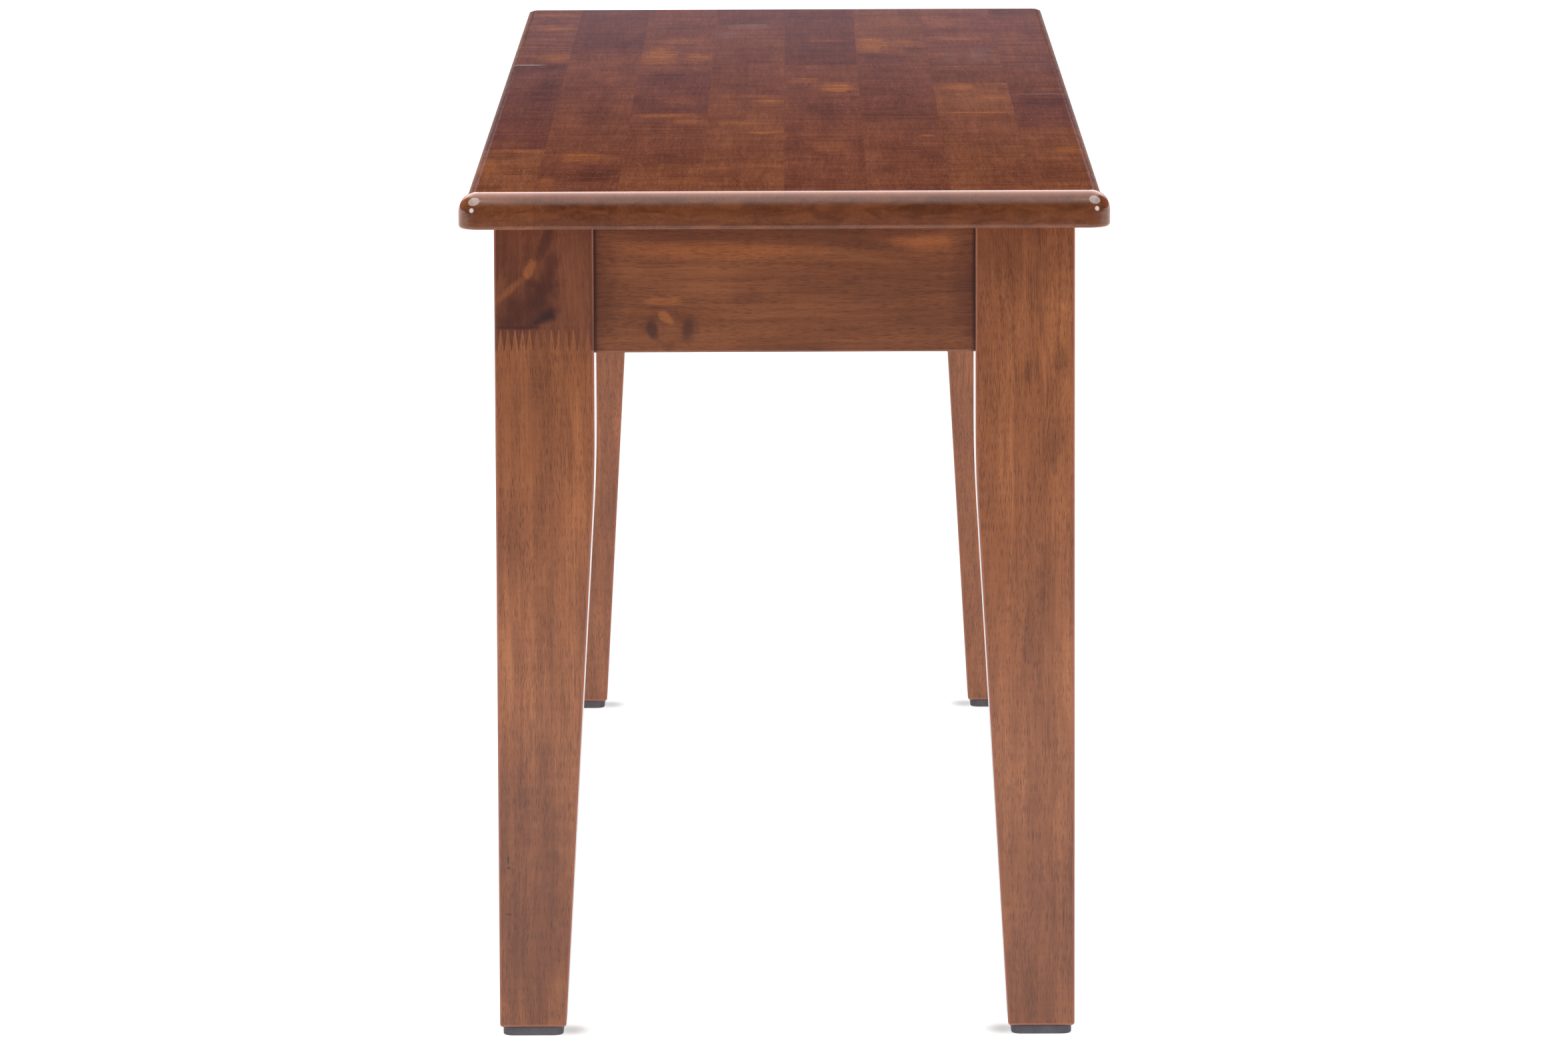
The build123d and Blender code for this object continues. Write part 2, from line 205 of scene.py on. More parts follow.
class Nodes:
    """A material or a world, and short calls that add its nodes."""

    def __init__(self, name, world=False):
        self.material = (bpy.data.worlds if world else bpy.data.materials).new(name)
        self.material.use_nodes = True
        self.tree = self.material.node_tree
        self.shader = self.tree.nodes["Background" if world else "Principled BSDF"]

    def feed(self, socket, value):
        """Links an output to the socket, or sets the socket to a plain value."""
        if isinstance(value, bpy.types.NodeSocket):
            self.tree.links.new(value, socket)
        else:
            socket.default_value = value

    def surface(self, **inputs):
        """Feeds inputs of the shader, which are named here with _ for a space."""
        for name, value in inputs.items():
            self.feed(self.shader.inputs[name.replace("_", " ")], value)

    def add(self, kind, inputs=None, **settings):
        node = self.tree.nodes.new("ShaderNode" + kind)
        for key, value in settings.items():
            setattr(node, key, value)
        for key, value in (inputs or {}).items():
            self.feed(node.inputs[key], value)
        return node

    def math(self, operation, *values):
        node = self.add("Math", operation=operation)
        for socket, value in zip(node.inputs, values):
            self.feed(socket, value)
        return node.outputs[0]

    def times(self, first, *factors):
        """The product of them all."""
        for factor in factors:
            first = self.math("MULTIPLY", first, factor)
        return first

    def vector(self, operation, *values):
        node = self.add("VectorMath", operation=operation)
        for socket, value in zip(node.inputs, values):
            self.feed(socket, value)
        return node.outputs["Value" if operation in ("DOT_PRODUCT", "LENGTH") else "Vector"]

    def combine(self, x, y, z):
        return self.add("CombineXYZ", {"X": x, "Y": y, "Z": z}).outputs[0]

    def split(self, vector):
        node = self.add("SeparateXYZ", {"Vector": vector})
        return [node.outputs[axis] for axis in "XYZ"]

    def noise(self, vector, scale, detail=2.0, roughness=0.5, distortion=0.0):
        """Noise from 0 to 1. The scale is per metre, one for every direction or one for each."""
        each = scale if isinstance(scale, tuple) else (scale, scale, scale)
        node = self.add("TexNoise", {
            "Vector": self.vector("MULTIPLY", vector, each), "Scale": 1.0, "Detail": detail,
            "Roughness": roughness, "Distortion": distortion,
        })
        return node.outputs["Fac"]

    def cells(self, vector, scale, channel):
        """The distance to the nearest cell's point, and that cell's own chance from 0 to 1."""
        node = self.add("TexVoronoi", {
            "Vector": self.vector("MULTIPLY", vector, scale), "Scale": 1.0, "Randomness": 1.0})
        chance = self.add("SeparateColor", {"Color": node.outputs["Color"]}).outputs[channel]
        return node.outputs["Distance"], chance

    def ramp(self, value, low, high, smooth=True):
        """0 at low and 1 at high, and level beyond them. Low may be the larger of the two."""
        node = self.add("MapRange", {"Value": value, "From Min": low, "From Max": high})
        node.interpolation_type = "SMOOTHSTEP" if smooth else "LINEAR"
        node.clamp = True
        return node.outputs["Result"]

    def swing(self, noise, amount, base=0.0):
        """The base, pushed up and down by the noise, by half the amount at most."""
        return self.math("MULTIPLY_ADD", self.math("SUBTRACT", noise, 0.5), amount, base)

    def lessened(self, mask, share):
        """1, less this share of it where the mask is full."""
        return self.math("MULTIPLY_ADD", mask, -share, 1.0)

    def blend(self, share, first, second):
        """The first colour where the share is 0, and the second where it is 1."""
        node = self.add("Mix", data_type="RGBA", blend_type="MIX", clamp_factor=True)
        self.feed(node.inputs[MIX_SHARE], share)
        for place, colour in ((MIX_FIRST, first), (MIX_SECOND, second)):
            self.feed(node.inputs[place], (*colour, 1.0) if isinstance(colour, tuple) else colour)
        return node.outputs[MIX_RESULT]

    def bump(self, height, distance, strength):
        node = self.add("Bump", {"Height": height, "Distance": distance, "Strength": strength})
        return node.outputs["Normal"]


def tinted(stain, factors):
    """The stain with each of its three parts made stronger or weaker."""
    return tuple(min(1.0, part * factor) for part, factor in zip(stain, factors))


# Stains of the wood, as seen under the lacquer, and among them colours of painted light and shade
STAINS = {
    "dark": (0.265, 0.082, 0.052),
    "purple": (0.29, 0.09, 0.06),
    "red": (0.325, 0.1, 0.056),
    "mid": (0.34, 0.106, 0.057),
    "orange": (0.375, 0.12, 0.058),
    "amber": (0.44, 0.146, 0.066),
    "leg": (0.365, 0.124, 0.051),
    "leg_dark": (0.205, 0.066, 0.034),
    "apron": (0.27, 0.089, 0.038),
    "pale": (0.5, 0.34, 0.19),
    "dowel": (0.62, 0.46, 0.28),
    "stave_end": (0.138, 0.042, 0.017),
    "block_end": (0.12, 0.04, 0.02),
    "pore": (0.06, 0.018, 0.013),
    # Paler wear on the arrises with a painted highlight, and pale specks that are painted glints
    "worn_and_highlit": (0.5, 0.165, 0.1),
    "fleck": (0.64, 0.47, 0.4),
    # Marks: dark figure that also serves as painted shade, bright figure, inky pips and painted shadow lines,
    # painted sheen, and painted glints at stave ends
    "shade": (0.085, 0.024, 0.019),
    "glow": (0.74, 0.24, 0.07),
    "pip": (0.045, 0.02, 0.02),
    "painted_sheen": (0.46, 0.27, 0.23),
    "gleam": (0.95, 0.86, 0.86),
}

# Directions along the grain, across the board and into it. In the last two the board stands on edge
LENGTHWISE = (ALONG_X, ALONG_Y, ALONG_Z)
CROSSWISE = (ALONG_Y, ALONG_X, ALONG_Z)
UPRIGHT = (ALONG_Z, ALONG_Y, ALONG_X)
LENGTHWISE_ON_EDGE = (ALONG_X, ALONG_Z, ALONG_Y)
CROSSWISE_ON_EDGE = (ALONG_Y, ALONG_Z, ALONG_X)

# How strongly a wood shows each thing, unless it says otherwise
PLAIN_LOOKS = dict(
    cloud=0.5,  # broad light and dark clouds
    ring=0.5,  # long bands along the grain
    streak=0.35,  # fine streaks
    mottle=0.35,  # the finest grit
    curl=0.0,  # bars across the grain
    pore=0.7,  # how dark the pores are
    pore_share=0.5,  # how many pores there are
    line=0.0,  # long dark threads
    end_stain=None,  # stain of the end grain, where it differs
    arris=0.0,  # paler wear and a painted highlight on the arrises
    fleck=0.0,  # pale specks, painted glints of the lacquer
    gloss=0.16,  # roughness of the lacquer, or 0 for bare wood
    film=0.15,  # how uneven the lacquer is
    ripple=0.5,  # share of its broad waves in that
    pits=0.35,  # share of the dents that pores leave in it
    dull_top=0.0,  # how far the lacquer is dulled on a flat top, which also gets painted shade at a glance
)

# Noises that follow the grain, with scales per metre along it, across the board and into it
WANDER = dict(scale=(12, 18, 18), detail=1)
CLOUDS = dict(scale=(11, 34, 34), detail=4, roughness=0.6)
RINGS = dict(scale=(2.2, 95, 60), detail=4, roughness=0.6, distortion=0.5)
STREAKS = dict(scale=(16, 460, 460), detail=3, roughness=0.6)
GRIT = dict(scale=(170, 1400, 1400), detail=3, roughness=0.7)
CURLS = dict(scale=(85, 16, 16), detail=3, roughness=0.6, distortion=0.5)
PORE_DRIFTS = dict(scale=(22, 90, 90))
THREADS = dict(scale=(34, 1500, 1500))
THREAD_DRIFTS = dict(scale=(9, 70, 70))
FLECK_DRIFTS = dict(scale=(8, 14, 14))
LACQUER_WAVES = dict(scale=(60, 210, 210))
# Noises with scales per metre along X, Y and Z
MARK_EDGE = dict(scale=130, detail=4, roughness=0.6)
TONGUES = dict(scale=(95, 24, 24), detail=3, roughness=0.6, distortion=0.6)
END_SWIRLS = dict(scale=(60, 55, 190), detail=4, distortion=1.2)
END_SPECKS = dict(scale=900)

# Width of the band in which the grain wanders, and the step in the noises from seed to seed
GRAIN_WARP = 9 * MM
SEED_STEP = (3.71, 1.93, 0.57)
# A stain's lightest and darkest tones, as factors on red, green and blue, and how far they lie off
LIGHTEST, DARKEST = (1.85, 2.0, 1.9), (0.36, 0.34, 0.42)
LIGHTEST_END, DARKEST_END = (1.55, 1.6, 1.5), (0.55, 0.55, 0.55)
TONE_REACH = 0.5

# Length and width of a pore's cell, how many more or fewer there are, and how pale the fine ones are
COARSE_CELL, COARSE_FEWER = (7.5 * MM, 0.55 * MM), 0.05
FINE_CELL, FINE_MORE, FINE_PALER = (3.2 * MM, 0.33 * MM), 0.15, 0.6
# Flecks' cells per metre
FLECK_CELLS = (170.0, 420.0, 420.0)

# Where a mask starts and where it is full, on the scale of what it is made from
TONGUE_EDGE = (0.58, 0.42)
PORE_EDGE = (0.5, 0.15)
PORE_CHANCE = (2.3, 2.38)
PORE_DRIFT_PULL = 2.6
THREAD_EDGE = (0.52, 0.7)
THREAD_DRIFT_EDGE = (0.42, 0.6)
END_FACING = (0.1, 0.8)
END_TONES = (0.6, 1.05)
FLECK_EDGE = (0.22, 0.1)
FLECK_CHANCE = (0.8, 0.86)
FLECK_DRIFT_EDGE = (0.45, 0.62)
TOP_LEVEL = (0.85, 0.89)
TOP_LEAN = (0.12, 0.06)

# Shares of the swirls, the specks and the wood's own figure in its end grain
SWIRL_SHARE, SPECK_SHARE, END_FIGURE = 1.3, 0.35, 0.25
# Roughness of the wood, and what streaks and pores add to it
WOOD_ROUGHNESS, STREAK_ROUGHNESS, PORE_ROUGHNESS = 0.4, 0.16, 0.2
# Depth and strength of the wood's relief, the share of streaks in it, and the depth of the lacquer's
WOOD_RELIEF, RELIEF_STRENGTH, STREAK_RELIEF = 0.1 * MM, 0.4, 0.25
LACQUER_RELIEF = 0.06 * MM
LACQUER_IOR, GLANCE_IOR = 1.5, 1.65
BARE_SHINE = 0.3


class Wood(Nodes):
    """Wood with its grain along the first of three directions."""

    def __init__(self, name, directions, seed):
        super().__init__(name)
        self.position = self.add("TexCoord").outputs["Object"]
        self.along_grain = directions[0]
        self.along, self.side, depth = (
            self.vector("DOT_PRODUCT", self.position, tuple(direction)) for direction in directions)
        plain = self.vector(
            "ADD", self.combine(self.along, self.side, depth), tuple(step * seed for step in SEED_STEP))
        wander = self.swing(self.noise(plain, **WANDER), GRAIN_WARP)
        self.grain = self.vector("ADD", plain, self.combine(0.0, wander, wander))
        self.marks = []

    def patch(self, along, side, length, width, lean=0.0, ring=0.0, soft=0.8, rough=0.6, flame=0.0):
        """A soft oval mask, or with ring above 0 a soft arc, centred in metres. Flame breaks it up."""
        a = self.math("SUBTRACT", self.along, along)
        s = self.math("MULTIPLY_ADD", a, lean, self.math("SUBTRACT", self.side, side))
        out = self.vector("LENGTH", self.combine(
            self.math("DIVIDE", a, length / 2), self.math("DIVIDE", s, width / 2), 0.0))
        out = self.swing(self.noise(self.position, **MARK_EDGE), 2 * rough, out)
        if ring:
            return self.ramp(self.math("ABSOLUTE", self.math("SUBTRACT", out, 1.0 - ring)), ring, 0.0)
        mask = self.ramp(out, 1.0, 1.0 - soft)
        if flame:
            tongues = self.ramp(self.noise(self.position, **TONGUES), *TONGUE_EDGE)
            mask = self.times(mask, self.lessened(tongues, flame))
        return mask

    def mark(self, kind, strength, *place, **outline):
        """Lays a patch of another stain on the wood."""
        self.marks.append((self.times(self.patch(*place, **outline), strength), kind))

    def dashes(self, length, width, share):
        """A mask of short pores along the grain, in drifts. Length and width are of one pore's cell."""
        distance, chance = self.cells(self.grain, (1 / length, 1 / width, 1 / width), "Red")
        drifts = self.noise(self.grain, **PORE_DRIFTS)
        low, high = (edge - share for edge in PORE_CHANCE)
        picked = self.ramp(self.math("MULTIPLY_ADD", drifts, PORE_DRIFT_PULL, chance), low, high)
        return self.times(self.ramp(distance, *PORE_EDGE), picked)

    def figured(self, stain, streaks, looks):
        """The stain with clouds, rings, streaks, grit and curl, lighter and darker."""
        tone = self.swing(self.noise(self.grain, **CLOUDS), looks.cloud)
        tone = self.swing(self.noise(self.grain, **RINGS), looks.ring, tone)
        tone = self.swing(streaks, looks.streak, tone)
        tone = self.swing(self.noise(self.grain, **GRIT), looks.mottle, tone)
        if looks.curl:
            tone = self.swing(self.noise(self.grain, **CURLS), looks.curl, tone)
        lighter = self.ramp(tone, 0.0, TONE_REACH, smooth=False)
        darker = self.ramp(tone, 0.0, -TONE_REACH, smooth=False)
        colour = self.blend(lighter, stain, tinted(stain, LIGHTEST))
        return self.blend(darker, colour, tinted(stain, DARKEST))

    def pored(self, looks):
        """A mask of coarse and fine pores, and of long threads where the wood has them."""
        coarse = self.dashes(*COARSE_CELL, looks.pore_share - COARSE_FEWER)
        fine = self.dashes(*FINE_CELL, looks.pore_share + FINE_MORE)
        pores = self.math("MAXIMUM", coarse, self.times(fine, FINE_PALER))
        if looks.line:
            threads = self.ramp(self.noise(self.grain, **THREADS), *THREAD_EDGE)
            drifts = self.ramp(self.noise(self.grain, **THREAD_DRIFTS), *THREAD_DRIFT_EDGE)
            pores = self.math("MAXIMUM", pores, self.times(threads, drifts, looks.line))
        return pores

    def normal(self):
        return self.add("NewGeometry").outputs["Normal"]

    def end_facing(self):
        """1 where the surface cuts the grain, and 0 where it runs along it."""
        facing = self.vector("DOT_PRODUCT", self.normal(), tuple(self.along_grain))
        return self.ramp(self.math("ABSOLUTE", facing), *END_FACING)

    def end_grain(self, stain, figure):
        swirls = self.times(self.noise(self.position, **END_SWIRLS), SWIRL_SHARE)
        shade = self.math("MULTIPLY_ADD", self.noise(self.position, **END_SPECKS), SPECK_SHARE, swirls)
        tones = self.ramp(shade, *END_TONES, smooth=False)
        colour = self.blend(tones, tinted(stain, DARKEST_END), tinted(stain, LIGHTEST_END))
        return self.blend(END_FIGURE, colour, figure)

    def flecks(self):
        """A mask of pale specks in drifts, painted glints of the lacquer."""
        distance, chance = self.cells(self.grain, FLECK_CELLS, "Green")
        drifts = self.ramp(self.noise(self.grain, **FLECK_DRIFTS), *FLECK_DRIFT_EDGE)
        return self.times(self.ramp(distance, *FLECK_EDGE), self.ramp(chance, *FLECK_CHANCE), drifts)

    def dulled_and_shaded(self, colour, share):
        """The colour and the coat's weight: a flat top's coat is hardly shiny, and its colour darkens at a
        glance as painted shade.
        """
        lean, _, level = self.split(self.normal())
        upright = self.ramp(self.math("ABSOLUTE", lean), *TOP_LEAN)
        dull_and_shade = self.times(self.ramp(level, *TOP_LEVEL), upright, share)
        glance = self.add("Fresnel", {"IOR": GLANCE_IOR}).outputs[0]
        # Painted shade: darker at a glance, in place of the light that a full coat would mirror away
        colour = self.blend(self.times(dull_and_shade, glance), colour, (0.0, 0.0, 0.0))
        return colour, self.math("SUBTRACT", 1.0, dull_and_shade)

    def finish(self, stain, **changes):
        """Gives the wood its figure, marks, pores, end grain, wear and lacquer. Some marks, the pale specks,
        part of the wear and a dulled flat top's darkening are painted light and shade.
        """
        looks = SimpleNamespace(**{**PLAIN_LOOKS, **changes})
        streaks = self.noise(self.grain, **STREAKS)
        pores = self.pored(looks)
        colour = self.figured(STAINS[stain], streaks, looks)
        # Marks, some of them painted shade, sheen and glints
        for mask, kind in self.marks:
            colour = self.blend(mask, colour, STAINS[kind])
        colour = self.blend(self.times(pores, looks.pore), colour, STAINS["pore"])
        fleck, pits = looks.fleck, -looks.pits
        if looks.end_stain:
            facing = self.end_facing()
            colour = self.blend(facing, colour, self.end_grain(STAINS[looks.end_stain], colour))
            sides = self.math("SUBTRACT", 1.0, facing)
            fleck, pits = self.times(sides, fleck), self.times(sides, pits)
        if looks.arris:
            # Paler wear on the arrises, with a painted highlight
            worn_and_highlit = self.add("Attribute", attribute_name=ARRIS).outputs["Fac"]
            colour = self.blend(self.times(worn_and_highlit, looks.arris), colour, STAINS["worn_and_highlit"])
        if looks.fleck:
            # Pale specks: painted glints of the lacquer
            colour = self.blend(self.times(self.flecks(), fleck), colour, STAINS["fleck"])
        coat = 1.0
        # A dulled flat top also gets painted shade at a glance
        if looks.dull_top:
            colour, coat = self.dulled_and_shaded(colour, looks.dull_top)

        rough = self.math("MULTIPLY_ADD", streaks, STREAK_ROUGHNESS, WOOD_ROUGHNESS)
        rough = self.math("MULTIPLY_ADD", pores, PORE_ROUGHNESS, rough)
        height = self.math("SUBTRACT", self.times(streaks, STREAK_RELIEF), pores)
        relief = self.bump(height, WOOD_RELIEF, RELIEF_STRENGTH)
        self.surface(Base_Color=colour, Roughness=rough, Normal=relief)
        if looks.gloss:
            waves = self.times(self.noise(self.grain, **LACQUER_WAVES), looks.ripple)
            film = self.bump(self.math("MULTIPLY_ADD", pores, pits, waves), LACQUER_RELIEF, looks.film)
            self.surface(Coat_Normal=film, Coat_Weight=coat, Coat_Roughness=looks.gloss, Coat_IOR=LACQUER_IOR)
        self.surface(Specular_IOR_Level=0.0 if looks.gloss else BARE_SHINE)
        return self.material


def wood_material(name, directions, seed, stain, marks=(), **looks):
    """Marks are (kind, place along the grain, place across it, length, width, strength, outline).
    Places and sizes are in millimetres."""
    wood = Wood(name, directions, seed)
    for kind, along, side, length, width, strength, outline in marks:
        wood.mark(kind, strength, along * MM, side * MM, length * MM, width * MM, **outline)
    return wood.finish(stain, **looks)


# Seat

# Each strip from left to right: its staves from end A, each as (share of the length at its far
# end, stain, marks). A mark is (kind, share of the stave, share of the strip's width, length in
# millimetres, width in millimetres, strength)
# The haze marks are painted sheen on the lacquer, the gleams painted glints at stave joints, and fleck adds
# painted glints
SEAT = [
    [
        (0.203, "amber", [
            ("fleck", 0.6), ("glow", 0.57, 0.25, 100, 25, 0.35), ("shade", 0.5, 0.8, 70, 24, 0.4),
            ("shade", 0.15, 0.4, 60, 24, 0.4), ("shade", 0.85, 0.5, 70, 40, 0.35)]),
        (0.651, "purple", [
            ("shade", 0.6, 0.75, 420, 28, 0.45), ("shade", 0.96, 0.5, 70, 60, 0.45),
            ("gleam", 0.995, 0.36, 8, 34, 0.8), ("glow", 0.05, 0.5, 60, 36, 0.15)]),
        (1.0, "mid", [
            ("curl", 0.5), ("glow", 0.12, 0.8, 80, 30, 0.45), ("glow", 0.63, 0.65, 60, 40, 0.45),
            ("shade", 0.47, 0.3, 50, 36, 0.3), ("glow", 0.88, 0.5, 60, 50, 0.3)]),
    ],
    [
        (0.131, "red", [("shade", 0.6, 0.62, 90, 44, 0.65), ("glow", 0.3, 0.12, 120, 16, 0.35)]),
        (0.714, "mid", [
            ("glow", 0.06, 0.5, 80, 46, 0.55), ("shade", 0.45, 0.5, 160, 50, 0.2),
            ("glow", 0.95, 0.7, 60, 26, 0.15), ("shade", 0.72, 0.25, 220, 24, 0.2)]),
        (1.0, "dark", [("shade", 0.33, 0.5, 200, 50, 0.25), ("painted_sheen", 0.93, 0.5, 70, 46, 0.25)]),
    ],
    [
        (0.135, "orange", [("shade", 0.93, 0.6, 40, 50, 0.35), ("glow", 0.35, 0.75, 60, 30, 0.2)]),
        (0.381, "mid", [
            ("glow", 0.95, 0.45, 36, 56, 0.5), ("glow", 0.82, 0.72, 50, 26, 0.35),
            ("shade", 0.08, 0.5, 80, 56, 0.4)]),
        (0.61, "purple", [("shade", 0.88, 0.42, 80, 40, 0.45), ("glow", 0.3, 0.6, 120, 30, 0.15)]),
        (1.0, "mid", [
            ("glow", 0.22, 0.25, 190, 34, 0.6), ("glow", 0.2, 0.8, 80, 26, 0.5),
            ("glow", 0.45, 0.5, 60, 46, 0.3), ("shade", 0.66, 0.5, 160, 50, 0.3)]),
    ],
    [
        (0.293, "orange", [("glow", 0.96, 0.75, 30, 30, 0.6), ("shade", 0.55, 0.25, 100, 30, 0.2)]),
        (0.477, "orange", [("glow", 0.82, 0.8, 40, 24, 0.55), ("glow", 0.2, 0.4, 60, 36, 0.25)]),
        (0.893, "mid", [
            ("painted_sheen", 0.96, 0.5, 50, 46, 0.5), ("painted_sheen", 0.84, 0.2, 110, 26, 0.3),
            ("shade", 0.55, 0.7, 200, 30, 0.2), ("shade", 0.1, 0.4, 90, 44, 0.25),
            ("gleam", 0.995, 0.5, 5, 40, 0.35)]),
        (1.0, "purple", []),
    ],
    [
        (0.467, "red", [("shade", 0.85, 0.5, 130, 46, 0.3), ("glow", 0.45, 0.6, 110, 32, 0.2)]),
        (0.645, "mid", [
            ("glow", 0.28, 0.7, 100, 36, 0.8), ("glow", 0.5, 0.25, 50, 26, 0.45),
            ("pip", 0.14, 0.86, 10, 4, 0.9)]),
        (1.0, "dark", [("shade", 0.2, 0.5, 170, 50, 0.25), ("glow", 0.4, 0.6, 20, 40, 0.25)]),
    ],
    [
        (0.337, "mid", [("glow", 0.78, 0.8, 20, 13, 0.85), ("shade", 0.4, 0.3, 260, 24, 0.2)]),
        (0.71, "red", [("shade", 0.93, 0.5, 70, 46, 0.3), ("shade", 0.14, 0.5, 130, 46, 0.35)]),
        (1.0, "orange", [
            ("glow", 0.2, 0.22, 150, 28, 0.7), ("glow", 0.22, 0.68, 60, 28, 0.45),
            ("glow", 0.7, 0.5, 120, 42, 0.3), ("shade", 0.08, 0.85, 46, 24, 0.5)]),
    ],
    [
        (0.374, "orange", [("pip", 0.325, 0.38, 6, 3, 0.85), ("shade", 0.25, 0.9, 200, 14, 0.3)]),
        (0.538, "amber", [
            ("glow", 0.85, 0.35, 50, 36, 0.45), ("glow", 0.52, 0.75, 40, 28, 0.5),
            ("shade", 0.8, 0.93, 60, 10, 0.4), ("glow", 0.03, 0.5, 14, 50, 0.6)]),
        (0.614, "mid", [("shade", 0.5, 0.5, 60, 46, 0.2)]),
        (0.788, "mid", [
            ("curl", 0.35), ("painted_sheen", 0.5, 0.7, 160, 26, 0.4), ("painted_sheen", 0.4, 0.3, 150, 16, 0.25)]),
        (1.0, "mid", [
            ("curl", 0.5), ("glow", 0.04, 0.5, 24, 48, 0.5), ("glow", 0.5, 0.3, 110, 30, 0.3),
            ("shade", 0.75, 0.6, 60, 26, 0.3)]),
    ],
    [
        (0.303, "orange", [("glow", 0.63, 0.6, 60, 30, 0.45), ("shade", 0.3, 0.3, 160, 24, 0.3)]),
        (0.477, "purple", [("shade", 0.75, 0.5, 90, 50, 0.35), ("gleam", 0.995, 0.5, 5, 46, 0.35)]),
        (1.0, "red", [
            ("shade", 0.96, 0.4, 120, 60, 0.4), ("curl", 0.25), ("painted_sheen", 0.3, 0.5, 90, 40, 0.2),
            ("glow", 0.62, 0.3, 120, 26, 0.2)]),
    ],
]


# A mark's outline is crisp, or rough and broken into flames
CRISP = dict(rough=0.15)
BROKEN = dict(rough=0.7, flame=0.6)
MARK_OUTLINES = {"pip": CRISP, "gleam": CRISP, "shade": BROKEN, "glow": BROKEN, "painted_sheen": BROKEN}
GLOW_BOOST = 1.45
STAVE_LOOKS = dict(ring=0.35, streak=0.5, mottle=0.8, curl=0.6, pore=0.5, line=0.4, end_stain="stave_end",
                   arris=0.6, fleck=0.6, gloss=0.05, film=0.2, ripple=0.07, pits=0.07, dull_top=0.88)


def stave_material(strip, index, near, far, stain, marks):
    """The wood of one stave. Near and far are shares of the seat's length from end A."""
    low_y, high_y = STRIP_BOXES[strip][0].y, STRIP_BOXES[strip][1].y
    seed = 1.0 + 7.3 * strip + 1.9 * index
    wood = Wood(f"stave_{strip + 1}_{index + 1}", LENGTHWISE, seed)
    looks = dict(STAVE_LOOKS)
    for kind, *facts in marks:
        if kind in looks:
            looks[kind] += facts[0]
            continue
        along_share, side_share, length, width, strength = facts
        x = SEAT_END - SEAT_LENGTH * (near + (far - near) * along_share)
        y = low_y + (high_y - low_y) * side_share
        strength = min(1.0, (GLOW_BOOST if kind == "glow" else 1.0) * strength)
        wood.mark(kind, strength, x, y, length * MM, width * MM, **MARK_OUTLINES[kind])
    return wood.finish(stain, **looks)


def seat_profile():
    """The seat's edge from its underside up to its top, as (inset, height)."""
    points = quarter_round(LOWER_ROUND, SEAT_UNDER, LOWER_ROUND_STEPS)
    lift = EDGE_ROUND - math.sqrt(EDGE_ROUND ** 2 - ARRIS_SETBACK ** 2)
    centre_z = SEAT_TOP + lift - EDGE_ROUND
    arris_turn = math.acos(ARRIS_SETBACK / EDGE_ROUND)
    for i in range(EDGE_ROUND_STEPS + 1):
        turn = arris_turn * i / EDGE_ROUND_STEPS
        points.append((EDGE_ROUND * (1 - math.cos(turn)), centre_z + EDGE_ROUND * math.sin(turn)))
    return points


def sanding_wave(x):
    """How far the arris of a long side wanders inwards, from 0 to 1."""
    waves = [math.sin(x / (length * MM) + start) for length, start in SANDING_WAVES]
    return 0.5 + 0.5 * sum(waves) / len(waves)


def seat_ring(inset, z):
    """One ring of the seat's edge, with enough points along the sides for the arris to wander."""
    corners = rounded_corners(SEAT_END - inset, SEAT_SIDE - inset, SEAT_CORNER - inset, SEAT_CORNER_STEPS)
    wave = SANDING * (inset / EDGE_ROUND) ** 2 if z > SEAT_UNDER + EDGE_ROUND / 2 else 0.0
    ring = []
    for i, (x, y, _) in enumerate(corners):
        ring.append((x, y, z))
        next_x = corners[(i + 1) % len(corners)][0]
        if abs(next_x - x) > SEAT_END:
            for step in range(1, SEAT_SIDE_STEPS):
                side_x = x + (next_x - x) * step / SEAT_SIDE_STEPS
                ring.append((side_x, y - math.copysign(wave * sanding_wave(side_x), y), z))
    return ring


def seat_blank():
    """The whole seat with its rounded edge, before it is cut into staves."""
    profile = seat_profile()
    rings = [seat_ring(inset, z) for inset, z in profile]
    # A ring just inside the arris keeps its wear and painted highlight off the flat top
    inner_x, inner_y = 1 - WEAR_AND_HIGHLIGHT_INSET / SEAT_END, 1 - WEAR_AND_HIGHLIGHT_INSET / SEAT_SIDE
    rings.append([(x * inner_x, y * inner_y, z) for x, y, z in rings[-1]])
    worn_and_highlit_z = SEAT_TOP - WEAR_AND_HIGHLIGHT_DEPTH

    def worn_and_highlit(r, i):
        """Only the seat's ends and corners get paler wear with a painted highlight, more and more towards the
        arris.
        """
        if r == len(profile) or abs(rings[r][i][0]) < SEAT_END - SEAT_CORNER:
            return 0.0
        return max(0.0, (profile[r][1] - worn_and_highlit_z) / (SEAT_TOP - worn_and_highlit_z))

    return skin(rings, worn_and_highlit)


def cut_stave(blank, strip, near, far):
    """One stave, cut from a copy of the blank between two shares of the length from end A."""
    low, high = STRIP_BOXES[strip]
    stave = blank.copy()
    if strip > 0:
        cut_beyond(stave, (0, low.y, 0), (0, -1, 0))
    if strip < len(SEAT) - 1:
        cut_beyond(stave, (0, high.y, 0), (0, 1, 0))
    if near > 0:
        cut_beyond(stave, (SEAT_END - SEAT_LENGTH * near, 0, 0), (1, 0, 0))
    if far < 1:
        cut_beyond(stave, (SEAT_END - SEAT_LENGTH * far, 0, 0), (-1, 0, 0))
    return stave


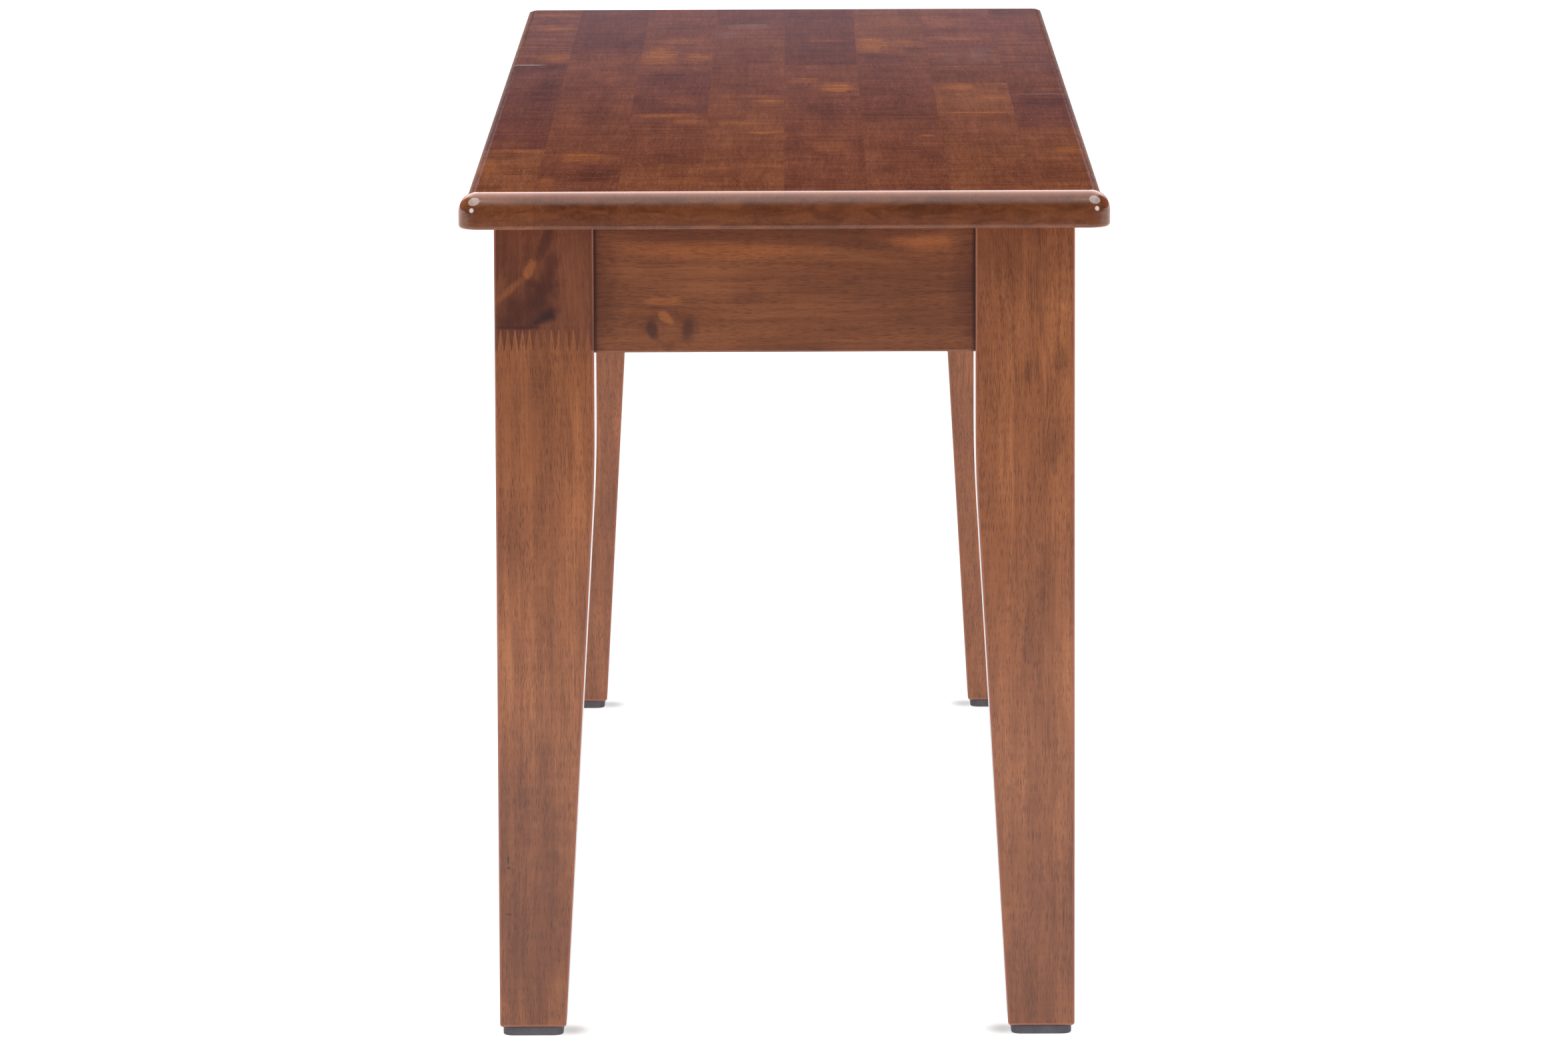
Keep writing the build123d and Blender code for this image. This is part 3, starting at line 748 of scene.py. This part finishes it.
def build_seat():
    """A strip is one piece. Its staves are closed meshes in it, each with a material of its own."""
    blank = seat_blank()
    for strip, staves in enumerate(SEAT):
        joined = bmesh.new()
        joined.verts.layers.float.new(ARRIS)
        materials = []
        near = 0.0
        for index, (far, stain, marks) in enumerate(staves):
            stave = cut_stave(blank, strip, near, far)
            for face in stave.faces:
                face.material_index = index
            part = bpy.data.meshes.new("stave")
            stave.to_mesh(part)
            stave.free()
            joined.from_mesh(part)
            bpy.data.meshes.remove(part)
            materials.append(stave_material(strip, index, near, far, stain, marks))
            near = far
        # The flat top is shaded apart from the round of the edge
        for edge in joined.edges:
            if all(abs(vert.co.z - SEAT_TOP) < SAME_PLACE for vert in edge.verts):
                edge.smooth = False
        piece = mesh_object(f"seat_staves_{strip + 1}", joined, materials)
        stands_for(piece, STRIP_NODES[strip])
    blank.free()


# Legs

def leg_width(z):
    """The leg's width at a height: straight, then an arc, then a straight taper."""
    if z >= ARC_TOP_Z:
        return LEG_SQUARE
    turn = math.asin(min(1.0, (ARC_TOP_Z - z) / TAPER_BLEND))
    if turn <= TAPER_ANGLE:
        return LEG_SQUARE - TAPER_BLEND * (1 - math.cos(turn))
    return FOOT_SQUARE + (z - PAD_TOP) * math.tan(TAPER_ANGLE)


def leg_levels():
    """Heights of a leg's rings from the foot up, each with its inset and whether it has the flat."""
    levels = [(z, inset, False) for inset, z in quarter_round(FOOT_ROUND, PAD_TOP, FOOT_ROUND_STEPS)]
    arc_low_z = ARC_TOP_Z - TAPER_BLEND * math.sin(TAPER_ANGLE)
    for i in range(TAPER_ARC_STEPS + 1):
        levels.append((arc_low_z + (ARC_TOP_Z - arc_low_z) * i / TAPER_ARC_STEPS, 0.0, False))
    return levels + [(RAIL_UNDER, 0.0, False), (RAIL_UNDER, 0.0, True), (SEAT_UNDER, 0.0, True)]


def leg_ring(z, inset, flat):
    """A ring of the right leg of end A. The corner block seats on the flat on its inner corner."""
    half = leg_width(z) / 2
    centre = Vector((LEG_OUT.x - half, LEG_OUT.y - half))
    radius = max(LEAST_ARRIS, LEG_ARRIS - inset)
    ring = []
    for i, (x, y, share) in enumerate(rounded_corners(half - inset, half - inset, radius, LEG_CORNER_STEPS)):
        if flat and i // (LEG_CORNER_STEPS + 1) == INNER_CORNER:
            x = -half + LEG_FLAT * share
            y = -half + LEG_FLAT * (1 - share)
        ring.append((centre.x + x, centre.y + y, z))
    return ring


def leg_mesh(sx, sy):
    """A leg, as the right leg of end A mirrored to its own corner."""

    def worn_and_highlit(r, i):
        """The arrises get paler wear with a painted highlight, most at their middle, and the round of the
        foot gets it all over.
        """
        share = i % (LEG_CORNER_STEPS + 1) / LEG_CORNER_STEPS
        return max(1 - abs(2 * share - 1), FOOT_WEAR_AND_HIGHLIGHT if r < FOOT_ROUND_STEPS else 0.0)

    bm = skin([leg_ring(*level) for level in leg_levels()], worn_and_highlit)
    bmesh.ops.scale(bm, vec=(sx, sy, 1), verts=bm.verts[:])
    bmesh.ops.recalc_face_normals(bm, faces=bm.faces[:])
    return bm


def above_finger_joint():
    """All of the left leg of end A that lies above the zigzag of its finger joint."""
    over = 5 * MM
    tip_z = SEAT_UNDER - FINGER_DROP
    root_z = tip_z - FINGER_LENGTH
    half_tip, half_pitch = FINGER_TIP / 2, FINGER_PITCH / 2
    count = int(LEG_SQUARE / FINGER_PITCH)
    first = (LEG_SQUARE - FINGER_PITCH * (count - 1)) / 2 - LEG_OUT.y
    points = [(-LEG_OUT.y - over, root_z), (first - half_pitch + half_tip, root_z)]
    for i in range(count):
        y = first + i * FINGER_PITCH
        points += [(y - half_tip, tip_z), (y + half_tip, tip_z)]
        points += [(y + half_pitch - half_tip, root_z), (y + half_pitch + half_tip, root_z)]
    inner_y = LEG_SQUARE - LEG_OUT.y + over
    points[-1] = (inner_y, root_z)
    points += [(inner_y, SEAT_UNDER + over), (-LEG_OUT.y - over, SEAT_UNDER + over)]
    bm = bmesh.new()
    back = [bm.verts.new((LEG_LOW.x - over, y, z)) for y, z in points]
    front = [bm.verts.new((LEG_HIGH.x + over, y, z)) for y, z in points]
    bm.faces.new(back)
    bm.faces.new(list(reversed(front)))
    for i in range(len(points)):
        bm.faces.new((back[i - 1], back[i], front[i], front[i - 1]))
    bmesh.ops.recalc_face_normals(bm, faces=bm.faces[:])
    return bm


def boolean(bm, tool, operation):
    """The mesh cut by the tool, as a new bmesh."""
    objects = []
    for name, source in (("cut", bm), ("tool", tool)):
        mesh = bpy.data.meshes.new(name)
        source.to_mesh(mesh)
        objects.append(bpy.data.objects.new(name, mesh))
        bpy.context.scene.collection.objects.link(objects[-1])
    modifier = objects[0].modifiers.new("cut", "BOOLEAN")
    modifier.operation = operation
    modifier.solver = "EXACT"
    modifier.object = objects[1]
    graph = bpy.context.evaluated_depsgraph_get()
    result = bmesh.new()
    mesh = bpy.data.meshes.new_from_object(objects[0].evaluated_get(graph))
    result.from_mesh(mesh)
    for leftover in (mesh, *(item.data for item in objects)):
        bpy.data.meshes.remove(leftover)
    return result


LEG_LOOKS = dict(cloud=0.85, streak=0.5, pore=0.55, pore_share=0.62, line=0.8, end_stain="block_end",
                 arris=0.8, gloss=0.15, film=0.06)
BLOCK_LOOKS = {**LEG_LOOKS, "pore": 0.35, "line": 0.0}
LEG_SEEDS = {"a_right": 15.0, "a_left": 17.0, "b_right": 25.0, "b_left": 30.0}
BLOCK_SEED = 41.0

# Figure of the short block above the finger joint, as a dark flame with orange edges
BLOCK_MARKS = [
    ("shade", 407, -138.0, 40, 34, 0.62, dict(lean=-0.45, soft=0.6, rough=0.7)),
    ("shade", 420, -131.0, 40, 14, 0.55, dict(lean=-0.35, soft=0.7, rough=0.7)),
    ("shade", 441, -131.5, 30, 9, 0.65, dict(lean=-0.3, soft=0.6, rough=0.7)),
    ("shade", 394.5, -144.0, 3.4, 34, 0.75, dict(soft=0.8, rough=0.3)),
    ("shade", 404, -145.0, 22, 30, 0.35, dict(lean=-0.8, soft=0.8, rough=0.7)),
    ("pip", 399.5, -131.5, 14, 16, 0.9, dict(lean=-0.8, soft=0.9, rough=0.7)),
    ("glow", 427.0, -139.0, 13, 9, 0.36, dict(lean=-0.4, soft=0.45, rough=0.9)),
    ("glow", 414.5, -151.0, 26, 9, 0.26, dict(lean=-1.06, soft=0.9, rough=0.7)),
    ("leg", 416, -156.0, 34, 12, 0.35, dict(lean=-0.3, soft=0.9)),
    ("leg", 420, -115.0, 70, 16, 0.2, dict(soft=0.9)),
]
LEG_MARKS = {
    "a_left": [
        ("shade", 300, -130, 60, 30, 0.12, {}),
        # Darker towards the foot
        ("shade", 50, -140, 260, 160, 0.4, dict(soft=0.9)),
        ("pip", 99.0, -153.5, 7, 1.6, 0.75, dict(soft=0.6, rough=0.3)),
        ("pip", 94.5, -153.2, 2.2, 2.2, 0.75, dict(soft=0.6, rough=0.2)),
        ("pip", 68.5, -153.5, 1.6, 4.5, 0.6, dict(soft=0.6, rough=0.2)),
    ],
    "a_right": [
        ("shade", 369, 133.0, 24, 6, 0.4, dict(rough=0.3)),
        ("shade", 376, 152.0, 26, 12, 0.35, {}),
        ("shade", 330, 148.0, 40, 16, 0.3, {}),
        # Painted shade under the seat, then darker towards the foot
        ("shade", 445, 131.0, 110, 160, 0.28, dict(soft=0.9)),
        ("shade", 40, 140.0, 200, 160, 0.3, dict(soft=0.9)),
        ("glow", 250, 118.0, 160, 40, 0.16, dict(soft=0.9)),
    ],
}


def build_legs():
    """The left leg of end A is cut in two at its finger joint, and the others are whole."""
    upper = above_finger_joint()
    for corner, (sx, sy) in CORNERS.items():
        node, bm = f"leg_{corner}", leg_mesh(sx, sy)
        if corner == "a_left":
            block = wood_material(
                f"{node}_upper", UPRIGHT, BLOCK_SEED, "leg_dark", BLOCK_MARKS, **BLOCK_LOOKS)
            piece = mesh_object(f"{node}_top", boolean(bm, upper, "INTERSECT"), [block])
            stands_for(piece, f"{node}_upper")
            whole, bm = bm, boolean(bm, upper, "DIFFERENCE")
            whole.free()
        marks = LEG_MARKS.get(corner, ())
        material = wood_material(node, UPRIGHT, LEG_SEEDS[corner], "leg", marks, **LEG_LOOKS)
        stands_for(mesh_object(f"{node}_main", bm, [material]), node)
    upper.free()


# Foot pads

# Where the clouds in the pads and the steel start and are full
CLOUD_EDGE = (0.3, 0.7)
PAD_DARK, PAD_LIGHT = (0.07, 0.065, 0.08), (0.126, 0.118, 0.138)
PAD_GRIT, PAD_CLOUD = dict(scale=1400, detail=3), dict(scale=120)
PAD_ROUGHNESS, GRIT_ROUGHNESS = 0.5, 0.25
PAD_RELIEF, PAD_STRENGTH = 0.08 * MM, 0.5


def pad_material():
    rubber = Nodes("foot_pad")
    position = rubber.add("TexCoord").outputs["Object"]
    grit, cloud = rubber.noise(position, **PAD_GRIT), rubber.noise(position, **PAD_CLOUD)
    shade = rubber.times(rubber.math("ADD", cloud, grit), 0.5)
    rubber.surface(
        Base_Color=rubber.blend(rubber.ramp(shade, *CLOUD_EDGE), PAD_DARK, PAD_LIGHT),
        Roughness=rubber.math("MULTIPLY_ADD", grit, GRIT_ROUGHNESS, PAD_ROUGHNESS),
        Normal=rubber.bump(grit, PAD_RELIEF, PAD_STRENGTH),
    )
    return rubber.material


def pad_profile(top):
    """The pad's edge from the floor up, as (inset, height): rounded below and at its top."""
    upper = quarter_round(PAD_TOP_ROUND, 0.0, PAD_ROUND_STEPS)
    return quarter_round(PAD_FLOOR_ROUND, 0.0, PAD_ROUND_STEPS) + [
        (inset, top - rise) for inset, rise in reversed(upper)]


def build_pads():
    material = pad_material()
    for corner in CORNERS:
        node = f"foot_pad_{corner}"
        low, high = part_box(node)
        centre = (low + high) / 2
        half = (high.x - low.x) / 2
        rings = []
        for inset, z in pad_profile(high.z):
            outline = rounded_corners(half - inset, half - inset, PAD_CORNER - inset, PAD_CORNER_STEPS)
            rings.append([(centre.x + x, centre.y + y, z) for x, y, _ in outline])
        stands_for(mesh_object(f"pad_{corner}", skin(rings), [material]), node)


# Frame under the seat, on the part's own meshes

APRON_LOOKS = dict(cloud=0.65, ring=0.7, streak=0.45, pore=0.5, pore_share=0.62, line=0.8, gloss=0.2)
BARE_LOOKS = dict(cloud=0.4, streak=0.4, pore=0.4, gloss=0.0)
STEEL = {
    "hanger_bolts": (0.62, 0.62, 0.6),
    "bolt_washers": (0.66, 0.66, 0.64),
    "bolt_nuts": (0.6, 0.6, 0.58),
    **dict.fromkeys(("block_screws", "cleat_screws", "seat_screws"), (0.6, 0.52, 0.33)),
}
STEEL_GRAIN, STEEL_CLOUD = dict(scale=900, detail=3), dict(scale=90)
STEEL_ROUGHNESS, GRAIN_ROUGHNESS, STEEL_RELIEF = 0.22, 0.3, 0.03 * MM
STEEL_DULL = (0.62, 0.62, 0.62)


def paint(node, material):
    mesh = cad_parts[node].data
    mesh.materials.clear()
    mesh.materials.append(material)


def steel_material(name, stain):
    steel = Nodes(name)
    position = steel.add("TexCoord").outputs["Object"]
    grain, cloud = steel.noise(position, **STEEL_GRAIN), steel.noise(position, **STEEL_CLOUD)
    steel.surface(
        Base_Color=steel.blend(steel.ramp(cloud, *CLOUD_EDGE), stain, tinted(stain, STEEL_DULL)),
        Roughness=steel.math("MULTIPLY_ADD", grain, GRAIN_ROUGHNESS, STEEL_ROUGHNESS),
        Normal=steel.bump(grain, STEEL_RELIEF, RELIEF_STRENGTH),
        Metallic=1.0,
    )
    return steel.material


# The rail is on edge, so its marks are placed by Y and by height
END_RAIL_MARKS = [
    # Painted shade along the top, under the seat
    ("shade", 0, 452, 420, 34, 0.3, dict(rough=0.2)),
    ("glow", -35, 436, 170, 12, 0.32, dict(rough=0.35)),
    ("glow", 77, 440, 50, 12, 0.35, {}),
    ("shade", -21, 410.5, 34, 11, 0.35, {}),
    ("shade", 34, 418, 16, 8, 0.3, {}),
    ("glow", -66, 408, 26, 7, 0.35, {}),
    ("shade", -63, 394, 34, 26, 0.25, dict(ring=0.3)),
    ("glow", -65, 399, 12, 8, 0.35, dict(lean=0.5, soft=0.6)),
    ("pip", -72.5, 393, 9, 15, 0.65, dict(lean=0.4, soft=0.7, rough=0.5)),
    ("pip", -53.5, 393, 9, 15, 0.6, dict(lean=-0.3, soft=0.7, rough=0.5)),
    # Dark lines and patches where the rail meets the legs: painted shade
    ("pip", -104.3, 415, 5, 240, 0.8, dict(rough=0.1)),
    ("pip", 104.3, 415, 5, 240, 0.8, dict(rough=0.1)),
    ("shade", -100, 415, 26, 90, 0.4, {}),
    ("shade", 100, 415, 26, 90, 0.4, {}),
]


def paint_frame():
    for rail, directions, seed, marks in (
        ("end_rail_a", CROSSWISE_ON_EDGE, 23.0, END_RAIL_MARKS),
        ("end_rail_b", CROSSWISE_ON_EDGE, 29.0, ()),
        ("side_rail_left", LENGTHWISE_ON_EDGE, 31.0, ()),
        ("side_rail_right", LENGTHWISE_ON_EDGE, 37.0, ()),
    ):
        paint(rail, wood_material(rail, directions, seed, "apron", marks, **APRON_LOOKS))
    bare = [("cross_brace", CROSSWISE, 43.0)]
    for number, (corner, (sx, sy)) in enumerate(CORNERS.items()):
        across, outward = Vector((sx, -sy, 0)).normalized(), Vector((sx, sy, 0)).normalized()
        bare.append((f"seat_cleat_{corner}", LENGTHWISE, 47.0 + number))
        bare.append((f"corner_block_{corner}", (across, ALONG_Z, outward), 53.0 + number))
    for node, directions, seed in bare:
        paint(node, wood_material(node, directions, seed, "pale", **BARE_LOOKS))
    turned = wood_material("dowels", CROSSWISE, 61.0, "dowel", **BARE_LOOKS)
    for node in ("rail_dowels", "brace_dowels"):
        paint(node, turned)
    for node, stain in STEEL.items():
        paint(node, steel_material(node, stain))


# Stage, light and camera

FLOOR_HALF = 60.0
FLOOR_COLOUR, FLOOR_UNSEEN = (0.3, 0.3, 0.31), (0.0, 0.0, 0.0)
FLOOR_TOOTH = dict(scale=300)
FLOOR_ROUGHNESS, TOOTH_ROUGHNESS = 0.8, 0.1
# Glow of the floor under the bench and away from it, and between which distances it grows
FLOOR_GLOW_NEAR, FLOOR_GLOW_FAR = 0.89, 1.06
FLOOR_GLOW_REACH = (0.8, 2.2)
# What the wood mirrors of the floor fades to this share in front, and then loses more of it
MIRROR_FRONT, MIRROR_LOSS = 0.22, 0.8
MIRROR_REACH, MIRROR_END = (1.3, 3.2), (4.1, 5.0)
# The soft shade that each foot casts on the floor, set in a little under the bench
FOOT_SHADE = 0.42
FOOT_SHADE_LENGTH, FOOT_SHADE_WIDTH, FOOT_SHADE_SHIFT = 22 * MM, 13 * MM, 3 * MM
FOOT_SHADE_EDGE = (1.0, 0.1)

# Lamps of the right side, each as (name, place, target, width, height, radiance, whether it lights
# the wood or only shines in its gloss). The left side mirrors them
LAMP_PLACE, HIGH_PLACE = (2.3, 1.9, 0.95), (1.15, 1.14, 2.3)
SEAT_EDGE = (SEAT_END, SEAT_SIDE, SEAT_TOP)
LAMPS = (
    ("front", LAMP_PLACE, (0.6, 0, 0.35), 1.3, 1.3, 1.7, True),
    ("front_spark", LAMP_PLACE, SEAT_EDGE, 1.0, 1.0, 12.0, False),
    ("high_spark", HIGH_PLACE, SEAT_EDGE, 2.2, 1.9, 6.0, False),
)

# Strengths of the sky's parts, and where each starts and is full. An arc of 1 is the camera's
# horizon, 0 is overhead and -1 is the far horizon
CANOPY, CANOPY_BACK, HORIZON, DUSK = 2.1, 3.4, 1.6, 2.5
CANOPY_BACK_ARC, CANOPY_FRONT_ARC, CANOPY_END_ARC = (-0.3, -0.92), (0.9, 0.35), (-0.985, -0.93)
CANOPY_SIDE = (0.6, 0.4)
BEHIND = (0.3, 0.0)
HORIZON_RISE = (0.075, 0.034)
DUSK_ABOVE, DUSK_BELOW = (0.101, 0.06), (0.066, 0.08)
DUSK_COLOUR = (1.0, 0.86, 1.12)

# Camera, in metres and radians, with its sensor and lens in millimetres
CAMERA_PLACE = (5.55478, 0.00406, 0.97863)
CAMERA_HEADING, CAMERA_TILT, CAMERA_ROLL = 0.000979, 0.138558, -0.003786
SENSOR_WIDTH, LENS = 36.0, 209.85
CLIP_START, CLIP_END = 0.1, 200.0
MAX_BOUNCES, INDIRECT_CLAMP = 8, 6.0


def build_floor():
    """A pale paper floor that glows, so that its tone doesn't hang on the lamps."""
    bm = bmesh.new()
    corners = ((-1, -1), (1, -1), (1, 1), (-1, 1))
    bm.faces.new([bm.verts.new((FLOOR_HALF * x, FLOOR_HALF * y, 0)) for x, y in corners])
    paper = Nodes("pale_floor")
    position = paper.add("TexCoord").outputs["Object"]
    ahead, across, _ = paper.split(position)
    far = paper.ramp(paper.vector("LENGTH", position), *FLOOR_GLOW_REACH)
    glow = paper.math("MULTIPLY_ADD", far, FLOOR_GLOW_FAR - FLOOR_GLOW_NEAR, FLOOR_GLOW_NEAR)
    fade = paper.lessened(paper.ramp(ahead, *MIRROR_REACH), 1.0 - MIRROR_FRONT)
    fade = paper.times(fade, paper.lessened(paper.ramp(ahead, *MIRROR_END), MIRROR_LOSS))
    # Only what the wood mirrors is dimmer in front. The floor itself looks pale from every side
    fade = paper.math("MAXIMUM", fade, paper.add("LightPath").outputs["Is Camera Ray"])
    from_foot = []
    for place, foot, reach in (
        (ahead, LEG_OUT.x - FOOT_SQUARE / 2, FOOT_SHADE_LENGTH),
        (across, LEG_OUT.y - FOOT_SQUARE - FOOT_SHADE_SHIFT, FOOT_SHADE_WIDTH),
    ):
        away = paper.math("SUBTRACT", paper.math("ABSOLUTE", place), foot)
        from_foot.append(paper.math("DIVIDE", away, reach))
    shade = paper.ramp(paper.vector("LENGTH", paper.combine(*from_foot, 0.0)), *FOOT_SHADE_EDGE)
    tooth = paper.noise(position, **FLOOR_TOOTH)
    paper.surface(
        Base_Color=paper.blend(fade, FLOOR_UNSEEN, FLOOR_COLOUR),
        Roughness=paper.math("MULTIPLY_ADD", tooth, TOOTH_ROUGHNESS, FLOOR_ROUGHNESS),
        Emission_Color=(1.0, 1.0, 1.0, 1.0),
        Emission_Strength=paper.times(glow, fade, paper.lessened(shade, FOOT_SHADE)),
        Specular_IOR_Level=0.0,
    )
    floor = mesh_object("floor", bm, [paper.material], weighted=False)


def softbox(name, place, target, width, height, radiance, lights):
    """A round lamp of an even radiance, turned to its target and unseen by the camera."""
    data = bpy.data.lights.new(name, "AREA")
    data.shape = "ELLIPSE"
    data.size, data.size_y = width, height
    data.energy = radiance * math.pi * (math.pi / 4 * width * height)
    lamp = bpy.data.objects.new(name, data)
    lamp.location = place
    lamp.rotation_euler = (Vector(target) - Vector(place)).to_track_quat("-Z", "Y").to_euler()
    lamp.visible_camera = False
    lamp.visible_diffuse = lights
    bpy.context.scene.collection.objects.link(lamp)


def build_light():
    for side in (-1, 1):
        for name, place, target, *facts in LAMPS:
            place, target = ((x, side * y, z) for x, y, z in (place, target))
            softbox(f"{name}_{side + 2}", place, target, *facts)
    build_sky()


def build_sky():
    """A soft canopy over the bench, dim low down behind it, and a bright horizon."""
    sky = Nodes("studio", world=True)
    x, y, z = sky.split(sky.add("TexCoord").outputs["Generated"])
    arc = sky.math("DIVIDE", x, sky.vector("LENGTH", sky.combine(x, 0.0, z)))
    canopy = sky.math("MULTIPLY_ADD", sky.ramp(arc, *CANOPY_BACK_ARC), CANOPY_BACK - CANOPY, CANOPY)
    between_ends = sky.times(sky.ramp(arc, *CANOPY_FRONT_ARC), sky.ramp(arc, *CANOPY_END_ARC))
    canopy = sky.times(canopy, between_ends, sky.ramp(sky.math("ABSOLUTE", y), *CANOPY_SIDE))
    behind = sky.ramp(x, *BEHIND)
    horizon = sky.times(sky.ramp(z, *HORIZON_RISE), HORIZON, behind)
    dusk = sky.times(sky.ramp(z, *DUSK_ABOVE), sky.ramp(z, *DUSK_BELOW), DUSK, behind)
    dusk = sky.vector("MULTIPLY", sky.combine(dusk, dusk, dusk), DUSK_COLOUR)
    light = sky.math("ADD", canopy, horizon)
    sky.surface(Color=sky.vector("ADD", sky.combine(light, light, light), dusk))
    bpy.context.scene.world = sky.material


def build_camera():
    """Looks along the bench from end A, a little down, with a long lens."""
    data = bpy.data.cameras.new("camera")
    data.sensor_fit = "HORIZONTAL"
    data.sensor_width, data.lens = SENSOR_WIDTH, LENS
    data.clip_start, data.clip_end = CLIP_START, CLIP_END
    camera = bpy.data.objects.new("camera", data)
    turn = (
        Matrix.Rotation(math.pi / 2 + CAMERA_HEADING, 4, "Z")
        @ Matrix.Rotation(math.pi / 2 - CAMERA_TILT, 4, "X")
        @ Matrix.Rotation(CAMERA_ROLL, 4, "Z")
    )
    camera.matrix_world = Matrix.Translation(CAMERA_PLACE) @ turn
    bpy.context.scene.collection.objects.link(camera)
    bpy.context.scene.camera = camera


def set_view():
    scene = bpy.context.scene
    scene.view_settings.view_transform = "Standard"
    scene.view_settings.look = "None"
    scene.cycles.use_denoising = True
    scene.cycles.max_bounces = MAX_BOUNCES
    scene.cycles.sample_clamp_indirect = INDIRECT_CLAMP


build_seat()
build_legs()
build_pads()
paint_frame()
build_floor()
build_light()
build_camera()
set_view()

bpy.context.view_layer.update()
